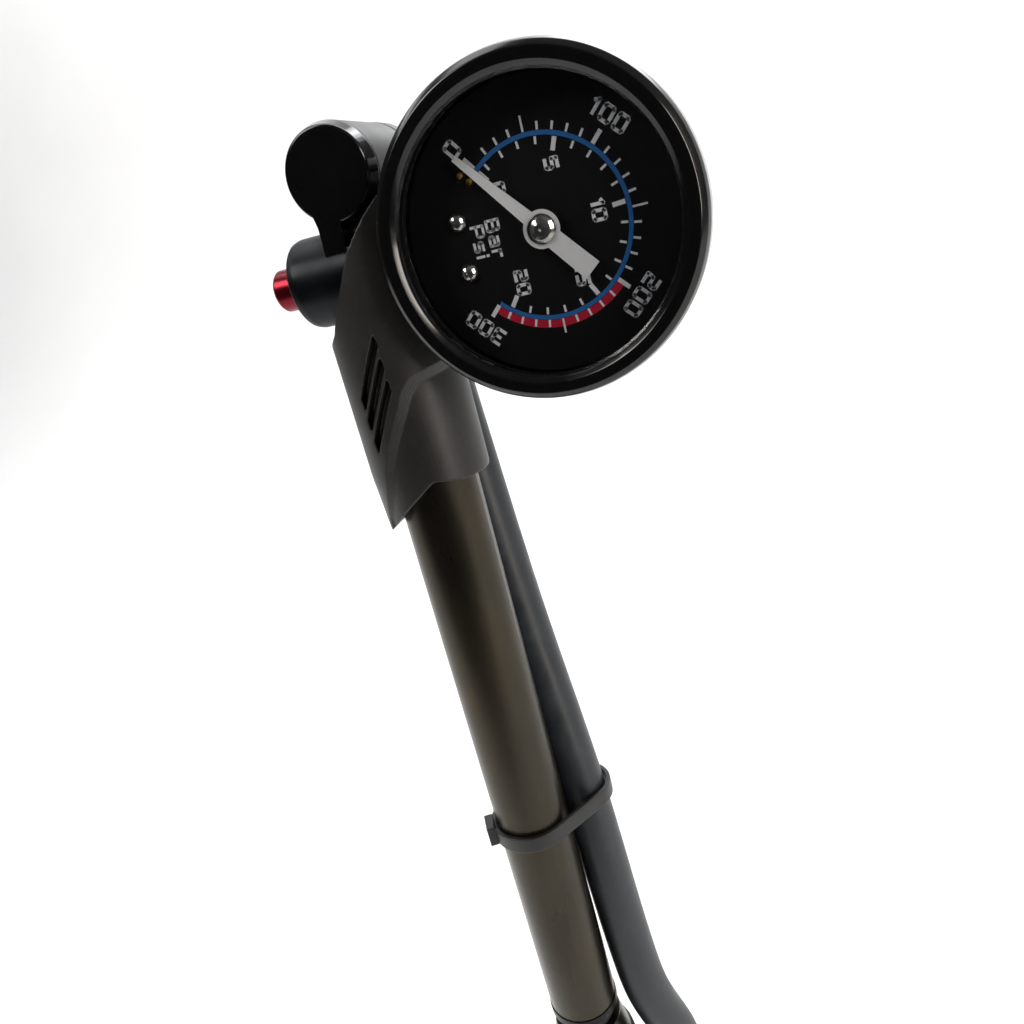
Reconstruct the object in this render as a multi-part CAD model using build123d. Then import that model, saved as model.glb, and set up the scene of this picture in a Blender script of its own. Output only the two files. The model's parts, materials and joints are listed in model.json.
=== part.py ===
from build123d import *
import math
import os

os.makedirs("parts", exist_ok=True)

# Shock suspension pump, millimetres.
# +Z runs up the pump from the handle's flat bottom (origin) to the head.
# -Y is the gauge face (front), +X the gauge side, -X the bleed-button side.

# ---- shared dimensions ----------------------------------------------------
AXIS_Z = 252.0             # height of the gauge and bleed-valve axis

BARREL_R = 8.5
BARREL_BORE_R = 7.5
BARREL_Z0 = 66.0
BARREL_Z1 = AXIS_Z - 16.0

ROD_R = 3.0
ROD_BORE_R = ROD_R + 0.05  # running fit on the rod

HUB_R = 8.4
HUB_BORE_R = HUB_R + 0.05
BLOCK_BORE_R = 7.45        # holes round the valve block and its narrow top
BLOCK_TOP_BORE_R = 4.45
BOSS_X = -1.0              # boss that carries the hose swivel
BOSS_Z = AXIS_Z + 17.3
BOSS_R = 8.8
BOSS_Y0 = -4.5
BOSS_Y1 = 13.4
AIR_R = 1.2                # air passages of the head
PASS_Y = 2.6               # air passage from the valve block up to the swivel

GAUGE_X = 35.0
ARC_R = 14.5               # radius of the dial's scale arc
CASE_R = 25.2
CASE_BORE_R = 23.9
CASE_Y0 = -9.5
CASE_Y1 = 7.5
BEZEL_R = 27.3

HOSE_R = 5.75
HOSE_BORE_R = 2.6
BARB_R = 2.3               # hose tails, clear of the bore by the barb height
HOSE_Y = 18.7              # hose top, under the swivel
CHUCK_X = 20.2
CHUCK_Y = 7.8


# ---- helpers --------------------------------------------------------------
# Revolved profiles are (radius, height along the axis). Solid ones start at
# radius 0.01, just off the axis.
def cyl_z(radius, z0, z1, x=0.0, y=0.0):
    return Pos(x, y, (z0 + z1) / 2) * Cylinder(radius, z1 - z0)


def head_cyl(radius, z0, z1, x=0.0, y=0.0):
    """Upright cylinder, heights measured from the gauge axis."""
    return cyl_z(radius, AXIS_Z + z0, AXIS_Z + z1, x, y)


def cyl_y(radius, y0, y1, x=GAUGE_X, z=AXIS_Z):
    return Pos(x, (y0 + y1) / 2, z) * Rot(90, 0, 0) * Cylinder(radius, y1 - y0)


def cyl_x(radius, x0, x1):
    return Pos((x0 + x1) / 2, 0, AXIS_Z) * Rot(0, 90, 0) * Cylinder(radius, x1 - x0)


def box(x0, x1, y0, y1, z0, z1):
    centre = Pos((x0 + x1) / 2, (y0 + y1) / 2, (z0 + z1) / 2)
    return centre * Box(x1 - x0, y1 - y0, z1 - z0)


def head_box(x0, x1, y0, y1, z0, z1):
    """Box with heights measured from the gauge axis."""
    return box(x0, x1, y0, y1, AXIS_Z + z0, AXIS_Z + z1)


def rev_z(profile):
    face = make_face(Polyline(*[(r, 0, h) for r, h in profile], close=True))
    return revolve(face, Axis.Z, 360)


def rev_y(profile, x=GAUGE_X, z=AXIS_Z):
    return Pos(x, 0, z) * Rot(-90, 0, 0) * rev_z(profile)


def rev_x(profile):
    return Pos(0, 0, AXIS_Z) * Rot(0, 90, 0) * rev_z(profile)


def slab_y(points, y0, y1, x=0.0, z=0.0):
    """Polygon of (x, z) points, shifted by x and z, extruded from y0 to y1."""
    outline = Polyline(*[(x + px, y0, z + pz) for px, pz in points], close=True)
    return extrude(make_face(outline), amount=y1 - y0, dir=(0, 1, 0))


def spring(radius, wire_r, length, turns):
    height = length - 2 * wire_r
    path = Helix(pitch=height / turns, height=height, radius=radius)
    section = Plane(origin=path @ 0, z_dir=path % 0) * Circle(wire_r)
    return sweep(section, path=path)


def hex_socket(radius, z, depth):
    return extrude(Pos(0, 0, z) * RegularPolygon(radius, 6), depth)


def polar(radius, degrees, x=GAUGE_X):
    """(x, z) point at an anticlockwise angle in the front view."""
    angle = math.radians(degrees)
    return (x + radius * math.cos(angle), AXIS_Z + radius * math.sin(angle))


def largest(shape):
    return max(shape.solids(), key=lambda solid: solid.volume)


def save(name, *shapes):
    solids = [solid for shape in shapes for solid in shape.solids()]
    body = solids[0] if len(solids) == 1 else Compound(children=solids)
    body.label = name
    export_step(body, "parts/%s.step" % name)


# ---- barrel and gland -----------------------------------------------------
barrel = cyl_z(BARREL_R, BARREL_Z0, BARREL_Z1)
barrel -= cyl_z(BARREL_BORE_R, BARREL_Z0 - 1, BARREL_Z1 + 1)
save("barrel_tube", barrel)

gland = rev_z([
    (0.01, 63.4), (8.3, 63.4), (8.7, 63.8), (8.7, 65.95), (7.47, 65.95), (7.47, 80.0),
    (0.01, 80.0),
])
gland -= cyl_z(4.55, 62, 68.0)             # wiper recess
gland -= cyl_z(4.8, 68.0, 79.0)            # bush recess
gland -= cyl_z(ROD_R + 0.4, 60, 82)
gland -= rev_z([(6.6, 74.0), (8.0, 74.0), (8.0, 75.7), (6.6, 75.7)])
save("gland_cap", gland)
save("gland_bush", cyl_z(4.78, 68.05, 78.95) - cyl_z(ROD_BORE_R, 60, 82))
save("gland_wiper", rev_z([
    (ROD_BORE_R, 63.6), (4.5, 63.6), (4.5, 67.9), (3.9, 67.9), (3.6, 65.6), (ROD_BORE_R, 64.6),
]))
save("gland_oring", Pos(0, 0, 74.85) * Torus(7.04, 0.42))

# ---- rod and piston -------------------------------------------------------
PISTON_R = 7.45
PISTON_Z0 = 208.6
PISTON_Z1 = 220.6
PISTON_SCREW_HOLE_R = 1.52

rod = cyl_z(ROD_R, 14.0, 217.6)
rod -= cyl_z(2.05, 13, 28.0)               # handle screw hole
rod -= cyl_z(PISTON_SCREW_HOLE_R, 209.0, 218)
save("piston_rod", rod)

piston = rev_z([
    (0.01, PISTON_Z0), (6.6, PISTON_Z0), (PISTON_R, PISTON_Z0 + 0.8), (PISTON_R, 213.2),
    (6.2, 213.2), (6.2, 215.2), (PISTON_R, 215.2), (PISTON_R, PISTON_Z1 - 0.5),
    (7.0, PISTON_Z1), (0.01, PISTON_Z1),
])
piston -= cyl_z(ROD_BORE_R, 208, 217.7)
piston -= cyl_z(PISTON_SCREW_HOLE_R, 217, 219.0)
piston -= cyl_z(3.2, 218.6, 222)           # screw head recess
save("piston_head", piston)
save("piston_oring", Pos(0, 0, 214.2) * Torus(6.83, 0.6))

piston_screw = cyl_z(3.0, 218.65, 220.5) + cyl_z(1.45, 209.6, 218.7)
piston_screw -= hex_socket(1.3, 219.4, 2)
save("piston_screw", piston_screw)

# ---- handle ---------------------------------------------------------------
HANDLE_R = 12.8
HANDLE_TOP = 60.0
GRIP_BORE_R = 10.24
GROOVE_COUNT = 9
GROOVE_Z0 = 6.0
GROOVE_PITCH = 4.6
GROOVE_DEPTH = 0.55
TAPER_Z = 24.0             # the grip narrows above this height
TAPER = 0.045

core = rev_z([
    (0.01, 1.6), (10.2, 1.6), (10.2, 52.0), (8.6, 59.4), (8.6, HANDLE_TOP),
    (0.01, HANDLE_TOP),
])
core -= cyl_z(ROD_R + 0.02, 12, 61)
core -= cyl_z(6.0, 1, 12.5)
save("handle_core", core)

grip = [(GRIP_BORE_R, 1.7), (12.0, 1.7), (HANDLE_R, 3.0)]
for i in range(GROOVE_COUNT):
    z = GROOVE_Z0 + GROOVE_PITCH * i
    ridge_r = HANDLE_R - max(0.0, z - TAPER_Z) * TAPER
    floor_r = ridge_r - GROOVE_DEPTH
    grip += [(ridge_r, z), (floor_r, z + 0.7), (floor_r, z + 1.7), (ridge_r, z + 2.4)]
grip += [(11.6, 46.0), (10.9, 51.0), (GRIP_BORE_R, 51.9)]
save("handle_grip", rev_z(grip))

save("handle_end_cap", rev_z([
    (0.01, 0.0), (11.4, 0.0), (12.2, 0.8), (12.2, 1.55), (5.95, 1.55), (5.95, 8.0),
    (4.9, 8.0), (4.9, 1.55), (0.01, 1.55),
]))
handle_screw = cyl_z(4.6, 9.4, 12.4) + cyl_z(2.0, 12.3, 26.0)
handle_screw -= hex_socket(2.3, 9.3, 1.8)
save("handle_screw", handle_screw)
save("handle_bumper", rev_z([
    (ROD_BORE_R, 60.05), (6.6, 60.05), (7.2, 60.6), (7.2, 62.6), (6.6, 63.3),
    (ROD_BORE_R, 63.3),
]))

# ---- valve block and check valve ------------------------------------------
block = head_cyl(7.45, -30, -16) + head_cyl(8.45, -16, -12)
block = block + head_cyl(7.4, -12, 5.0) + head_cyl(4.4, 4.5, 7.8)
block -= Pos(0, 0, AXIS_Z) * rev_z([(6.4, -24.6), (8.0, -24.6), (8.0, -22.8), (6.4, -22.8)])
block -= head_cyl(5.0, -31, -26.0)         # check seat
block -= head_cyl(3.2, -27, -17.0)         # poppet and spring
block -= head_cyl(AIR_R, -18, 2.0)
block -= head_cyl(AIR_R, 0, 9, BOSS_X, PASS_Y)
block -= cyl_x(2.6, -1.5, 9)               # to the gauge
block -= cyl_x(1.3, -3, 0)
block -= cyl_x(2.2, -9, -2.5)              # bleed stem
block -= cyl_x(4.9, 3.0, 9)                # gauge socket
save("valve_block", block)
save("barrel_oring", Pos(0, 0, AXIS_Z - 23.7) * Torus(7.0, 0.45))

seat = head_cyl(4.95, -30, -26.1) - head_cyl(AIR_R, -31, -25)
seat -= head_cyl(1.9, -31, -29.0)
save("check_seat", seat)
save("check_poppet", head_cyl(2.7, -26.05, -24.8) + head_cyl(1.4, -24.9, -22.0))
save("check_spring", Pos(0, 0, AXIS_Z - 24.8 + 0.32) * spring(2.1, 0.25, 7.6, 6))

# ---- hub and bleed valve --------------------------------------------------
HUB_X0 = -14.9

hub = rev_x([
    (0.01, HUB_X0), (7.6, HUB_X0), (8.1, HUB_X0 + 0.5), (HUB_R, HUB_X0 + 1.6),
    (HUB_R, 4.0), (0.01, 4.0),
])
hub -= head_cyl(BLOCK_BORE_R, -12, 5.05) + head_cyl(BLOCK_TOP_BORE_R, 4, 12)
hub -= cyl_x(7.0, -20, -13.5)
hub -= cyl_x(5.0, -18, -9.4)
hub -= cyl_x(2.2, -11, 0)
hub -= head_box(5.0, 9.0, -12, 12, -12, 12)
save("hub_collar", hub)
save("hub_ring", rev_x([
    (4.1, -15.7), (6.1, -15.7), (6.95, -15.1), (6.95, -13.55), (4.1, -13.55),
]))

button = rev_x([
    (0.01, -20.8), (3.5, -20.8), (4.0, -20.3), (4.0, -13.45), (4.9, -13.45),
    (4.9, -12.4), (0.01, -12.4),
])
button -= cyl_x(1.03, -18.2, -12.2)
save("bleed_button", button)
save("bleed_stem", cyl_x(1.0, -18.1, 0.4) + cyl_x(2.1, -0.7, 0.4))
save("bleed_seal", cyl_x(2.1, -1.45, -0.72) - cyl_x(1.02, -2, 0))
bleed_spring_at = Pos(-12.35 + 0.2, 0, AXIS_Z) * Rot(0, 90, 0)
save("bleed_spring", bleed_spring_at * spring(2.9, 0.18, 2.9, 2.5))

# ---- head shell -----------------------------------------------------------
HOOD_R = 12.3
SLEEVE_R = 11.4
HEAD_BORE_R = 8.55
HEAD_FOOT = -53            # heights here are measured from the gauge axis
HEAD_TOP = 17
STEP_COUNT = 4
STEP_IN = 0.22             # each hood step: radius lost, shift in x, drop in z
STEP_X = 0.3
STEP_DROP = 0.42

# Front-view outlines, (x, z from the gauge axis); what they enclose is cut away.
HOOD_EDGE = [
    (20, -17.9), (11.2, -18.1), (5.6, -19.4), (3.5, -21.5), (1.9, -24.5), (-2.0, -30.9),
    (-4.6, -36.0), (-6.1, -40.4), (-8.4, -46.6), (-9.8, -60), (25, -70),
]
FOOT_EDGE = [
    (20, -42.3), (9, -41.2), (4.6, -40.0), (3.6, -40.2), (-6.2, -47.4), (-9.4, -49.8),
    (-12.0, -50.6), (-20, -50.8), (-20, -70), (20, -70),
]
TOP_EDGE = [
    (-20, -15.0), (-12.3, -12.8), (-7.6, -9.4), (-2.6, -1.8), (0.9, 4.1), (5.0, 8.9),
    (9.0, 12.9), (13.5, 16.2), (20, 18), (20, 40), (-20, 40),
]
VENT = [(1.3, -10.2), (1.55, -12.8), (-5.2, -24.3), (-5.6, -21.9)]
VENT_SHIFTS = [(0.0, 0.0), (0.0, -4.1), (0.1, -8.3)]


def head_body(foot_r, body_r, shoulder):
    """Round body that widens from its foot up to the shoulder height."""
    return Pos(0, 0, AXIS_Z) * rev_z([
        (0.01, HEAD_FOOT), (foot_r, HEAD_FOOT), (body_r, shoulder), (body_r, HEAD_TOP),
        (0.01, HEAD_TOP),
    ])


head = head_body(11.2, SLEEVE_R, -40)
# the hood ends in a sloping edge built of four low steps
for k in range(STEP_COUNT):
    step = head_body(11.5 - STEP_IN * k, HOOD_R - STEP_IN * k, -38)
    head += step - slab_y(HOOD_EDGE, -20, 20, STEP_X * k, AXIS_Z - STEP_DROP * k)
head -= slab_y(FOOT_EDGE, -20, 20, z=AXIS_Z)
head -= slab_y(TOP_EDGE, -20, 20, z=AXIS_Z)
boss = cyl_y(BOSS_R, BOSS_Y0, BOSS_Y1, BOSS_X, BOSS_Z)
web = head_box(-5.6, 6.5, BOSS_Y0, 10.9, 3, 15)
head = head + boss + web
# room for the gauge beside the head
head -= cyl_y(BEZEL_R + 0.35, -20, CASE_Y0 + 2.3)
head -= cyl_y(CASE_R + 0.3, -20, 8.2)
head -= head_box(GAUGE_X - CASE_R + 0.6, 20, 4.0, 14, -8, 8)
# cavities: barrel, valve block, hub, gauge socket, air passage, swivel
head -= head_cyl(HEAD_BORE_R, -60, -11.9)
head -= head_cyl(BLOCK_BORE_R, -12.5, 5.05) + head_cyl(BLOCK_TOP_BORE_R, 4, 7.9)
head -= cyl_x(HUB_BORE_R, -26, 4.05)
head -= cyl_x(5.2, 3, 14)
head -= cyl_z(AIR_R, AXIS_Z + 7, BOSS_Z, BOSS_X, PASS_Y)
head -= cyl_y(5.65, BOSS_Y0 - 1, BOSS_Y1 + 1, BOSS_X, BOSS_Z)
# three slanted vents, sunk in the front of the hood
for x, z in VENT_SHIFTS:
    head -= slab_y(VENT, -14, -7.0, x, AXIS_Z + z) - head_cyl(HOOD_R - 2.2, -60, 0)
save("head_shell", largest(head))

# round cover on the boss's front, with a stem down to the hub
TRIM_Y1 = BOSS_Y0 - 0.05
STEM = [(-6.3, 13), (-5.6, 9.0), (-5.9, 2.0), (-1.6, 2.0), (-1.0, 9.0), (-0.6, 13)]

trim = rev_y([
    (0.01, -7.5), (7.7, -7.5), (8.05, -7.2), (BOSS_R, -4.7), (BOSS_R, TRIM_Y1),
    (0.01, TRIM_Y1),
], BOSS_X, BOSS_Z)
stem = slab_y(STEM, -7.5, TRIM_Y1, z=AXIS_Z)
stem -= cyl_x(HUB_BORE_R, -26, 6)
stem -= head_cyl(BLOCK_BORE_R, -12, 5.05)
trim = trim + stem
trim -= cyl_y(5.3, -6.0, BOSS_Y0 + 1, BOSS_X, BOSS_Z)
save("boss_trim", trim)

# ---- hose swivel ----------------------------------------------------------
RING_YS = (-0.1, 5.8)      # O-rings either side of the air groove
ELBOW_AIR_R = 1.1


def boss_cyl(radius, y0, y1):
    return cyl_y(radius, y0, y1, BOSS_X, BOSS_Z)


bushing = boss_cyl(5.6, -3.0, 13.3) - boss_cyl(3.55, -4, 14)
bushing -= cyl_z(AIR_R, AXIS_Z + 7, BOSS_Z, BOSS_X, PASS_Y)
save("swivel_bushing", bushing)

elbow = rev_y([
    (0.01, 13.45), (BOSS_R, 13.45), (8.9, 13.8), (8.9, 17.5), (8.6, 20.0), (7.7, 22.2),
    (6.2, 23.8), (4.2, 24.7), (0.01, 25.0),
], BOSS_X, BOSS_Z)
elbow += boss_cyl(3.5, -3.0, 14)
elbow += head_cyl(4.6, 8.6, 14, BOSS_X, HOSE_Y)
elbow += head_cyl(BARB_R, 3.0, 10, BOSS_X, HOSE_Y)
for floor_r, y in ((2.7, RING_YS[0]), (2.6, PASS_Y), (2.7, RING_YS[1])):
    groove = [(floor_r, y - 0.8), (4, y - 0.8), (4, y + 0.8), (floor_r, y + 0.8)]
    elbow -= rev_y(groove, BOSS_X, BOSS_Z)
elbow -= boss_cyl(1.42, -4, 0.9)           # screw hole
elbow -= boss_cyl(ELBOW_AIR_R, 1.7, HOSE_Y)
elbow -= cyl_z(ELBOW_AIR_R, AXIS_Z, BOSS_Z, BOSS_X, HOSE_Y)
elbow -= cyl_z(0.7, BOSS_Z - 3, BOSS_Z, BOSS_X, PASS_Y)
save("swivel_elbow", elbow)
save("swivel_orings", *[
    Pos(BOSS_X, y, BOSS_Z) * Rot(90, 0, 0) * Torus(3.11, 0.4) for y in RING_YS
])

swivel_screw = boss_cyl(4.6, -4.2, -3.1) + boss_cyl(1.4, -3.15, 0.7)
swivel_screw -= box(BOSS_X - 3.2, BOSS_X + 3.2, -4.3, -3.8, BOSS_Z - 0.4, BOSS_Z + 0.4)
save("swivel_screw", swivel_screw)

# ---- hose -----------------------------------------------------------------
# centre line (x, y, z), from the swivel down to the chuck
STRAP_POINT = (10.15, 10.35, AXIS_Z - 129.0)
HOSE_PATH = [
    (BOSS_X, HOSE_Y, AXIS_Z + 8.0), (BOSS_X, HOSE_Y, AXIS_Z), (-0.1, HOSE_Y, AXIS_Z - 25.0),
    (1.3, 18.0, AXIS_Z - 47.0), (4.6, 15.5, AXIS_Z - 86.0), STRAP_POINT,
    (14.2, 6.3, AXIS_Z - 180.0), (15.6, 5.9, 62.0), (18.4, 6.9, 51.0),
    (CHUCK_X, CHUCK_Y, 42.0), (CHUCK_X, CHUCK_Y, 33.0),
]
path = Spline(*HOSE_PATH, tangents=[(0, 0, -1), (0, 0, -1)])
section = Plane(origin=path @ 0, z_dir=path % 0) * (Circle(HOSE_R) - Circle(HOSE_BORE_R))
save("hose", sweep(section, path=path))

TOP_FERRULE_R = HOSE_R + 0.06
TOP_FERRULE_LIP_R = HOSE_BORE_R + 0.1
BOTTOM_FERRULE_R = HOSE_R + 0.3
chuck_at = Pos(CHUCK_X, CHUCK_Y, 0)
save("hose_ferrule_top", Pos(BOSS_X, HOSE_Y, AXIS_Z) * rev_z([
    (TOP_FERRULE_R, 3.2), (6.45, 3.2), (6.45, 8.3), (TOP_FERRULE_LIP_R, 8.3),
    (TOP_FERRULE_LIP_R, 8.05), (TOP_FERRULE_R, 8.05),
]))
save("hose_ferrule_bottom", chuck_at * rev_z([
    (BOTTOM_FERRULE_R, 37.6), (6.5, 37.6), (6.8, 37.1), (6.8, 33.1), (BOTTOM_FERRULE_R, 33.1),
]))

# ---- valve chuck ----------------------------------------------------------
VALVE_R = 3.9              # 8V1 thread, 7.7 mm outside diameter
KNURL_COUNT = 24

chuck = rev_z([
    (0.01, 15.1), (5.0, 15.1), (5.0, 18.0), (4.2, 18.0), (4.2, 24.6), (6.2, 24.6),
    (6.8, 25.2), (6.8, 32.4), (6.2, 33.0), (BARB_R, 33.0), (BARB_R, 37.0), (0.01, 37.0),
])
chuck -= cyl_z(1.0, 14, 22.1)
chuck -= cyl_z(0.8, 20, 42)
save("chuck_body", chuck_at * chuck)

collar = rev_z([
    (0.01, 4.0), (6.7, 4.0), (7.3, 4.6), (7.3, 23.6), (6.7, 24.2), (0.01, 24.2),
])
collar -= cyl_z(VALVE_R, 3, 10.5)          # valve thread
collar -= cyl_z(4.4, 10.4, 13.4)           # thread relief under the seal
collar -= cyl_z(5.06, 12.9, 18.15)
collar -= cyl_z(4.26, 12.9, 25)
for i in range(KNURL_COUNT):
    groove_at = Rot(0, 0, 360 / KNURL_COUNT * i) * Pos(7.45, 0, 14.0)
    collar -= groove_at * Rot(0, 0, 45) * Box(0.8, 0.8, 14.0)
save("chuck_collar", chuck_at * collar)
save("chuck_seal", chuck_at * (cyl_z(4.95, 13.0, 15.05) - cyl_z(1.4, 12, 16)))
save("chuck_pin", chuck_at * (cyl_z(0.95, 12.4, 22.0) + cyl_z(0.7, 11.0, 12.5)))

# ---- strap round barrel and hose ------------------------------------------
STRAP_X, STRAP_Y, STRAP_Z = STRAP_POINT
STRAP_H = 3.8
STRAP_T = 1.1
STRAP_BARREL_R = 8.62      # inside radii
STRAP_HOSE_R = 6.15


def band(barrel_r, hose_r, height):
    """Two discs, round barrel and hose, joined along their outer tangents."""
    spacing = math.hypot(STRAP_X, STRAP_Y)
    heading = math.atan2(STRAP_Y, STRAP_X)
    spread = math.acos((barrel_r - hose_r) / spacing)
    ends = []
    for side in (1, -1):
        dx = math.cos(heading + side * spread)
        dy = math.sin(heading + side * spread)
        at_barrel = (barrel_r * dx, barrel_r * dy, 0)
        at_hose = (STRAP_X + hose_r * dx, STRAP_Y + hose_r * dy, 0)
        ends.append((at_barrel, at_hose))
    left, right = ends
    quad = make_face(Polyline(left[0], left[1], right[1], right[0], close=True))
    solid = extrude(quad, height, dir=(0, 0, 1))
    solid = solid + cyl_z(barrel_r, 0, height) + cyl_z(hose_r, 0, height, STRAP_X, STRAP_Y)
    return Pos(0, 0, STRAP_Z - STRAP_H / 2) * solid


strap = band(STRAP_BARREL_R + STRAP_T, STRAP_HOSE_R + STRAP_T, STRAP_H)
strap += Rot(0, 0, 205) * box(9.2, 11.2, -2.6, 2.6, STRAP_Z - 2.5, STRAP_Z + 2.5)
strap -= Pos(0, 0, -1) * band(STRAP_BARREL_R, STRAP_HOSE_R, STRAP_H + 2)
strap -= cyl_z(STRAP_BARREL_R, STRAP_Z - 5, STRAP_Z + 5)
save("hose_strap", strap)

# ---- gauge case -----------------------------------------------------------
LENS_OPEN_R = 23.0
BEZEL_Y0 = -16.0
BEZEL_BORE_R = CASE_R + 0.05

case = rev_y([
    (0.01, CASE_Y0), (CASE_R, CASE_Y0), (CASE_R, CASE_Y1 - 1.6), (CASE_R - 1.6, CASE_Y1),
    (0.01, CASE_Y1),
])
case -= rev_y([
    (0.01, CASE_Y0 - 1), (CASE_BORE_R, CASE_Y0 - 1), (CASE_BORE_R, CASE_Y1 - 2.2),
    (CASE_BORE_R - 1.0, CASE_Y1 - 1.2), (0.01, CASE_Y1 - 1.2),
])
case -= cyl_x(4.92, 5, 14)
save("gauge_case", case)
save("gauge_bezel", rev_y([
    (BEZEL_BORE_R, -7.6), (26.9, -7.6), (BEZEL_R, -8.3), (BEZEL_R, -14.3), (26.6, -15.5),
    (25.6, BEZEL_Y0), (24.7, BEZEL_Y0), (LENS_OPEN_R + 0.1, -14.2), (LENS_OPEN_R, -13.9),
    (LENS_OPEN_R, -13.2), (BEZEL_BORE_R, -13.2),
]))
save("gauge_lens", cyl_y(CASE_R, -13.15, -11.65))
save("lens_gasket", cyl_y(CASE_R, -11.6, -9.55) - cyl_y(CASE_BORE_R + 0.05, -12, -9))

# ---- dial -----------------------------------------------------------------
RIVET_HOLE_R = 0.85
RIVETS = [(GAUGE_X - ARC_R, AXIS_Z + side * 0.29 * ARC_R) for side in (1, -1)]
# the zero stop is a two-legged staple just behind the needle's rest place
STOP_ANGLE = 136.2
STOP_LEGS = [polar(k * ARC_R, STOP_ANGLE) for k in (0.985, 1.11)]

dial = cyl_y(23.6, -8.4, -7.8) - cyl_y(1.4, -9, -7)
for x, z in RIVETS:
    dial -= cyl_y(RIVET_HOLE_R, -9, -7, x, z)
for x, z in STOP_LEGS:
    dial -= cyl_y(0.6, -9, -7, x, z)
save("dial_plate", dial)

RIVET = [
    (0.01, -9.6), (0.6, -9.54), (1.15, -9.28), (1.55, -8.9), (1.7, -8.42), (0.8, -8.42),
    (0.8, -4.2), (0.01, -4.2),
]
save("dial_rivets", *[rev_y(RIVET, x, z) for x, z in RIVETS])

(x0, z0), (x1, z1) = STOP_LEGS
stop = slab_y([
    (x0 - 0.3, z0 - 0.35), (x0 + 0.35, z0 + 0.35), (x1 + 0.3, z1 + 0.35), (x1 - 0.35, z1 - 0.35),
], -7.75, -7.2)
STOP_LEG = [(0.01, -10.1), (0.3, -10.05), (0.55, -9.75), (0.55, -7.25), (0.01, -7.25)]
for x, z in STOP_LEGS:
    stop += rev_y(STOP_LEG, x, z)
save("zero_stop", stop)

# ---- gauge movement: dimensions -------------------------------------------
GEAR_MODULE = 0.3
PINION_TEETH = 10
SECTOR_TEETH = 70
PRESSURE_ANGLE = math.radians(28.0)
ADDENDUM = 0.8 * GEAR_MODULE
DEDENDUM = 1.15 * GEAR_MODULE
TOOTH_FILL = 0.84          # tooth width as a share of half the pitch
NEEDLE_SWEEP = 270.0
REST_ANGLE = -NEEDLE_SWEEP * PINION_TEETH / SECTOR_TEETH / 2
PIVOT_X = GAUGE_X - GEAR_MODULE * (PINION_TEETH + SECTOR_TEETH) / 2
ARBOR_R = 0.78
ARBOR_HOLE_R = 0.84
SCREWS = [(17.0, AXIS_Z + 3.4 * side) for side in (1, -1)]
PILLARS = [(x, AXIS_Z + z) for x, z in ((39.0, 6), (39.0, -6), (28.0, 10.8), (28.0, -10.8))]

TUBE_R0 = 18.5
TUBE_R1 = 20.7
TUBE_HALF = 3.4            # half its width along Y
TUBE_WALL = 0.45
TUBE_START = 200.0         # angles round the gauge axis, front view
TUBE_END = 484.0
TIP_ANGLE = TUBE_END - 360.0
LUG_ANGLE = TIP_ANGLE + 10.0


def arc_bar(r0, r1, half_width, start, end):
    """Rectangular bar bent round the gauge axis, centred on y = 0."""
    corners = [(r0, -half_width), (r1, -half_width), (r1, half_width), (r0, half_width)]
    face = make_face(Polyline(*[(r, 0, h) for r, h in corners], close=True))
    # Rot(90, 0, 0) lays the Z axis along -Y, so angles read in the front view
    bar = revolve(face, Axis.Z, end - start)
    return Pos(GAUGE_X, 0, AXIS_Z) * Rot(90, 0, 0) * Rot(0, 0, start) * bar


# ---- bourdon tube, socket and link ----------------------------------------
tube = arc_bar(TUBE_R0, TUBE_R1, TUBE_HALF, TUBE_START, TUBE_END)
tube -= arc_bar(TUBE_R0 + TUBE_WALL, TUBE_R1 - TUBE_WALL, TUBE_HALF - TUBE_WALL,
                TUBE_START, TUBE_END - 1.5)
save("bourdon_tube", largest(tube))

socket = cyl_x(4.85, 3.5, 12.5) + head_box(12.0, 22.0, -7.75, 4.0, -6, 6)
socket -= cyl_x(0.9, 2, 17)
socket -= cyl_y(2.7, -5.4, 4.1, PIVOT_X)
for x, z in RIVETS:
    socket -= cyl_y(RIVET_HOLE_R, -9, -4.0, x, z)
for x, z in SCREWS:
    socket -= cyl_y(0.65, 0.5, 5, x, z)
# bridge from the socket down to the tube's start
bridge = head_box(14.0, 18.6, -3.2, 3.2, -8.4, -5.5)
bridge -= arc_bar(TUBE_R0 - 0.05, TUBE_R1 + 3, 3.6, TUBE_START - 0.2, TUBE_START + 30)
socket += largest(bridge)
save("gauge_socket", socket)
save("socket_seal", cyl_x(4.8, 3.03, 3.47) - cyl_x(2.6, 1, 5))

tip = arc_bar(TUBE_R0 - 0.05, TUBE_R1 + 0.05, TUBE_HALF, TIP_ANGLE + 7.0, TIP_ANGLE + 13.0)
lug_x, lug_z = polar(17.3, LUG_ANGLE)
tip += Pos(lug_x, 0.6, lug_z) * Rot(0, -LUG_ANGLE, 0) * Box(3.2, 1.6, 1.9)
tip -= cyl_y(0.53, -1, 2, lug_x, lug_z)
save("bourdon_tip", tip)

pin_x, pin_z = polar(4.5, REST_ANGLE, PIVOT_X)
dx = lug_x - pin_x
dz = lug_z - pin_z
link_at = Pos((lug_x + pin_x) / 2, -0.6, (lug_z + pin_z) / 2)
link_at = link_at * Rot(0, -math.degrees(math.atan2(dz, dx)), 0)
link = link_at * Box(math.hypot(dx, dz), 0.5, 1.5)
link += cyl_y(1.1, -0.85, -0.35, pin_x, pin_z) + cyl_y(1.1, -0.85, -0.35, lug_x, lug_z)
link += cyl_y(0.5, -2.3, -0.4, pin_x, pin_z) + cyl_y(0.5, -0.4, 1.3, lug_x, lug_z)
save("tip_link", link)

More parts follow.
